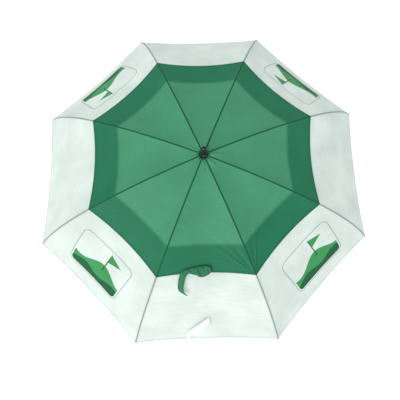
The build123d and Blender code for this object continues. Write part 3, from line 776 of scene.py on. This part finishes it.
def green_dye_and_lap_shade(tree):
    """Green dye, with painted shade: darker and bluer where the white canopy lies under it and keeps light from
    coming through.
    """
    doubled = add_node(tree, "ShaderNodeAttribute", attribute_name="doubled").outputs["Fac"]
    # The second colour is painted shade: the lower canopy keeps light from below from coming through here.
    inputs = {0: doubled, 6: linear("#4b9c75"), 7: linear("#227c57")}
    return add_node(tree, "ShaderNodeMix", inputs, data_type="RGBA").outputs[2]


def folded_green(tree):
    """The strap is folded from four layers, so hardly any light comes through it."""
    return add_node(tree, "ShaderNodeCombineColor", linear("#2b7551")[:3]).outputs[0]


# The same dye in two cloths: one layer of the canopy, and the folded strap and rosette.
green_pongee = cloth_shader("green_pongee_painted_lap_shade", green_dye_and_lap_shade, linear("#0f6039"), green_light_through)
folded_pongee = cloth_shader("green_pongee_folded_strap", folded_green, linear("#1d5c3d"), 0.02)
for piece in [*upper_cloths, rosette, green_strap]:
    wear_finish(piece, green_pongee if piece in upper_cloths else folded_pongee)

# %% [markdown]
# ## The print on every other panel
#
# Golf umbrellas are screen printed through a stencil, after cutting and before sewing. The
# print here is a plain one: a flag on a green between hills, in a thin frame. It is made of
# distances: the frame is where the distance to a rounded rectangle is small, a hill is
# where the height is under a sine, and the flag is where two slanted lines close up.
# It reads two attributes, the place across and up from the print's middle, in metres.

# %% Draw the print
frame_half = (0.113, 0.084)
frame_corner = 0.022
frame_line = 0.0016
frame_gap = 0.007              # white line between the frame and the inks inside it
far_hills = {"level": -0.008, "rise": 0.020, "waves": 5.2, "shift": 1.1}
near_hills = {"level": -0.047, "rise": 0.008, "waves": 7.5, "shift": 4.0}
pole_x, pole_half_width, pole_y, pole_half_height = 0.018, 0.0022, 0.028, 0.042
flag_y, flag_half_height, flag_length, flag_taper = 0.051, 0.018, 0.054, 0.33
cloth_white, white_seam, white_light_through = "#eaf1ed", "#b9c5c0", 0.45
ink_grey, ink_green, ink_dark = linear("#b9c1be"), linear("#4fae6c"), linear("#2a7549")
soaked_through = 0.45          # how strongly the inks show on the cloth's inner side


def below_hill(tree, x, y, level, rise, waves, shift):
    """One under a line at a level, with a sine on it that has so many waves to a metre."""
    wave = math_node(tree, "SINE", math_node(tree, "MULTIPLY_ADD", x, 2 * pi * waves, shift))
    line = math_node(tree, "MULTIPLY_ADD", wave, rise, level)
    return math_node(tree, "LESS_THAN", y, line)


def frame_distance(tree, x, y):
    """Distance outside a rounded rectangle, negative inside.

    The part of the place past the inner rectangle has a length, and the corner's radius
    is taken off it.
    """
    place = add_node(tree, "ShaderNodeCombineXYZ", [x, y, 0.0])
    place = add_node(tree, "ShaderNodeVectorMath", [place.outputs[0]], operation="ABSOLUTE")
    inner = (frame_half[0] - frame_corner, frame_half[1] - frame_corner, 0)
    past = add_node(tree, "ShaderNodeVectorMath", [place.outputs[0], inner], operation="SUBTRACT")
    past = add_node(tree, "ShaderNodeVectorMath", [past.outputs[0], (0, 0, 0)], operation="MAXIMUM")
    length = add_node(tree, "ShaderNodeVectorMath", [past.outputs[0]], operation="LENGTH")
    return math_node(tree, "SUBTRACT", length.outputs[1], frame_corner)


def golf_print(tree):
    """White cloth with hills, a flag and a frame printed on it, one ink over another."""
    x, y = (
        add_node(tree, "ShaderNodeAttribute", attribute_name=name).outputs["Fac"]
        for name in ("print_x", "print_y")
    )
    distance = frame_distance(tree, x, y)
    inside = math_node(tree, "LESS_THAN", distance, -frame_gap)
    from_line = math_node(tree, "ABSOLUTE", distance)
    frame_mask = math_node(tree, "LESS_THAN", from_line, frame_line)
    far_hill = below_hill(tree, x, y, **far_hills)
    near_hill = below_hill(tree, x, y, **near_hills)

    from_pole = math_node(tree, "SUBTRACT", x, pole_x)
    beside_pole = math_node(tree, "COMPARE", from_pole, 0.0, pole_half_width)
    along_pole = math_node(tree, "COMPARE", y, pole_y, pole_half_height)
    pole = math_node(tree, "MULTIPLY", beside_pole, along_pole)
    half_flag = math_node(tree, "MULTIPLY_ADD", from_pole, -flag_taper, flag_half_height)
    flag = math_node(tree, "COMPARE", y, flag_y, half_flag)
    flag = math_node(tree, "MULTIPLY", flag, math_node(tree, "GREATER_THAN", from_pole, 0.0))
    flag = math_node(tree, "MULTIPLY", flag, math_node(tree, "LESS_THAN", from_pole, flag_length))

    color = linear(cloth_white)
    # The inks soak through the cloth and show faintly on its inner side.
    outside = add_node(tree, "ShaderNodeAttribute", attribute_name="outside").outputs["Fac"]
    strength = add_node(tree, "ShaderNodeMapRange", [outside, 0.0, 1.0, soaked_through, 1.0]).outputs[0]
    inside = math_node(tree, "MULTIPLY", inside, strength)
    inks = ((far_hill, ink_green), (near_hill, ink_dark), (pole, ink_dark), (flag, ink_green))
    for mask, ink in inks:
        held = math_node(tree, "MULTIPLY", mask, inside)
        color = add_node(tree, "ShaderNodeMix", {0: held, 6: color, 7: ink}, data_type="RGBA").outputs[2]
    framed = {0: frame_mask, 6: color, 7: ink_grey}
    return add_node(tree, "ShaderNodeMix", framed, data_type="RGBA").outputs[2]


printed_pongee = cloth_shader(
    "white_pongee_screen_printed", golf_print, linear(white_seam), white_light_through
)
for piece in lower_cloths:
    wear_finish(piece, printed_pongee)


def plain_white(tree):
    """The same white with nothing printed on it, as a colour that a node can multiply."""
    return add_node(tree, "ShaderNodeCombineColor", linear(cloth_white)[:3]).outputs[0]


def satin_white(tree):
    """The strap's ribbon is brighter, because it is thicker and closer woven."""
    return add_node(tree, "ShaderNodeCombineColor", linear("#f1f4f1")[:3]).outputs[0]


white_pongee = cloth_shader("white_pongee", plain_white, linear(white_seam), white_light_through)
strap_white = cloth_shader("white_satin_ribbon", satin_white, linear("#d5dcd8"), 0.1)
for piece in [*lower_flaps, white_strap]:
    wear_finish(piece, strap_white if piece is white_strap else white_pongee)

# %% [markdown]
# ## Metal, plastic and foam
#
# The CAD parts keep their shape and get a finish. Painted and plated metal shows small
# unevenness in its gloss, moulded plastic a fine grain, and foam a speckle of cells.
# All of it is noise in object space, at the size that the real surface has.

# %% One recipe for the hard surfaces
def hard_finish(name, color, grain, depth, stretch=(1, 1, 1), spread=0.12, worn=None, **surface):
    """Principled surface with a grain of a real size in metres.

    The same noise shifts the roughness by the spread and gives a bump of the depth. Where
    there is a worn colour, it shows in patches where the same noise is high.
    """
    material, tree, output = new_material(name)
    place = add_node(tree, "ShaderNodeTexCoord").outputs["Object"]
    place = add_node(tree, "ShaderNodeMapping", {"Vector": place, "Scale": stretch}).outputs[0]
    texture = {"Vector": place, "Scale": 1 / grain, "Detail": 3}
    noise = add_node(tree, "ShaderNodeTexNoise", texture).outputs[0]
    base = surface.pop("roughness")
    ends = (noise_low, noise_high)
    rough = add_node(tree, "ShaderNodeMapRange", [noise, *ends, base - spread / 2, base + spread / 2])
    if worn:
        patches = add_node(tree, "ShaderNodeMapRange", [noise, 0.62, 0.7, 0, 0.6]).outputs[0]
        inputs = {0: patches, 6: linear(color), 7: linear(worn)}
    else:
        shade = add_node(tree, "ShaderNodeMapRange", [noise, *ends, 0, 0.35]).outputs[0]
        inputs = {0: shade, 6: linear(color), 7: (0, 0, 0, 1)}
    tone = add_node(tree, "ShaderNodeMix", inputs, data_type="RGBA").outputs[2]
    bump = add_node(tree, "ShaderNodeBump", {"Strength": 0.4, "Distance": depth, "Height": noise})
    values = {
        key.replace("_", " ").title().replace("Ior", "IOR"): value for key, value in surface.items()
    }
    shader = add_node(
        tree,
        "ShaderNodeBsdfPrincipled",
        {"Base Color": tone, "Roughness": rough.outputs[0], "Normal": bump.outputs[0], **values},
    )
    tree.links.new(shader.outputs[0], output.inputs["Surface"])
    return material


finishes = {
    # Polished mould, clear black: sharp highlights.
    "ferrule_plastic": hard_finish(
        "black_abs_polished_mould", "#0b1511", 0.004, 0.00002, spread=0.03, roughness=0.07, ior=1.54
    ),
    # Spark-eroded mould: even satin.
    "black_plastic": hard_finish(
        "black_nylon_satin_mould", "#161817", 0.0012, 0.0001, roughness=0.45, ior=1.53
    ),
    # Closed-cell foam: soft speckle, no highlight.
    "grip_foam": hard_finish(
        "black_eva_foam_turned", "#1c1d1d", 0.0014, 0.0005, spread=0.08, roughness=0.85, ior=1.45
    ),
    # Lacquered tube: glossy, with the runner's fine rub marks along it.
    "shaft_steel": hard_finish(
        "black_lacquered_steel_tube",
        "#121314",
        0.003,
        0.00005,
        stretch=(1, 1, 0.08),
        roughness=0.22,
        ior=1.5,
        worn="#2b2c2d",
    ),
    # Powder coat on a pressed channel: fine orange peel.
    "rib_steel": hard_finish(
        "black_powder_coated_steel", "#151617", 0.0015, 0.0002, roughness=0.38, ior=1.5, worn="#2c2d2f"
    ),
    # Pulled glass fibre: smooth resin with a faint grain.
    "rib_glass_fibre": hard_finish(
        "black_glass_fibre_pultruded", "#17191a", 0.002, 0.00006, spread=0.1, roughness=0.28, ior=1.55
    ),
    # Drawn spring wire, nickel plated.
    "bright_wire": hard_finish(
        "nickel_plated_wire", "#c8c6c0", 0.002, 0.00003, spread=0.1, roughness=0.25, metallic=1.0
    ),
    # Pressed cap, nickel plated and slightly dulled.
    "tip_metal": hard_finish(
        "nickel_plated_steel_cap", "#a9aaa8", 0.002, 0.00008, spread=0.15, roughness=0.34, metallic=1.0
    ),
}
slot_of_node = {part["node"]: part["material_slot"] for part in frame["record"]["subparts"]}
for name, node in frame["nodes"].items():
    if slot_of_node[name] in finishes:
        wear_finish(node, finishes[slot_of_node[name]])
print("finishes", len(finishes), "nodes", len(slot_of_node))

# %% [markdown]
# ## Floor, light and camera
#
# A product like this is shot on a white sweep under a large soft light, so nothing casts
# a hard shadow. A pale sky lights the canopy evenly, one broad sun from the front left
# models its folds, and two small panels in front give the ferrule its highlights. The
# sweep glows a little, as a lit one does, and that also fills the underside.

# %% Floor and light
def plain_stage():
    """A wide white floor that glows a little."""
    half = 12
    corners = [(-half, -half, 0), (half, -half, 0), (half, half, 0), (-half, half, 0)]
    mesh = bpy.data.meshes.new("floor")
    mesh.from_pydata(corners, [], [(0, 1, 2, 3)])
    floor = bpy.data.objects.new("floor", mesh)
    scene.collection.objects.link(floor)
    material, tree, output = new_material("white_paper_sweep")
    glow = {
        "Base Color": linear("#f4f4f4"),
        "Roughness": 0.9,
        "Emission Color": linear("#ffffff"),
        "Emission Strength": 0.35,
    }
    shader = add_node(tree, "ShaderNodeBsdfPrincipled", glow)
    tree.links.new(shader.outputs[0], output.inputs["Surface"])
    floor.data.materials.append(material)


def add_light(kind, name, place, target, energy, **settings):
    """A lamp at a place, aimed at a target."""
    lamp = bpy.data.lights.new(name, kind)
    lamp.energy = energy
    for key, value in settings.items():
        setattr(lamp, key, value)
    light = bpy.data.objects.new(name, lamp)
    light.location = place
    light.rotation_euler = (Vector(target) - Vector(place)).to_track_quat("-Z", "Y").to_euler()
    scene.collection.objects.link(light)


plain_stage()
canopy_middle = (0, 0, 0.85)
add_light("SUN", "soft_sun", (-1.9, -2.0, 3.7), canopy_middle, 1.55, angle=radians(40))
for side in (-1, 1):
    place = (0.38 * side, -1.45, 1.5)
    add_light("AREA", f"front_panel_{side}", place, canopy_middle, 0.8, size=0.08)

world = bpy.data.worlds.new("pale_sky")
scene.world = world
world.use_nodes = True
world.node_tree.nodes.clear()
sky = add_node(world.node_tree, "ShaderNodeBackground", {"Color": linear("#fbfdff"), "Strength": 0.69})
add_node(world.node_tree, "ShaderNodeOutputWorld", [sky.outputs[0]])
scene.view_settings.view_transform = "Standard"

# %% Camera, above the front and looking down
camera_data = bpy.data.cameras.new("camera")
camera_data.lens = 30.7
camera_data.sensor_width = 36
camera = bpy.data.objects.new("camera", camera_data)
scene.collection.objects.link(camera)
camera_turn, camera_tilt, camera_roll = radians(-2.15), radians(12.96), radians(0.82)
camera_place = (-0.0093, -0.3969, 1.9974)    # before the turn about the shaft
camera.matrix_world = (
    Matrix.Rotation(camera_turn, 4, "Z")
    @ Matrix.Translation(camera_place)
    @ Matrix.Rotation(camera_tilt, 4, "X")
    @ Matrix.Rotation(camera_roll, 4, "Z")
)
scene.camera = camera
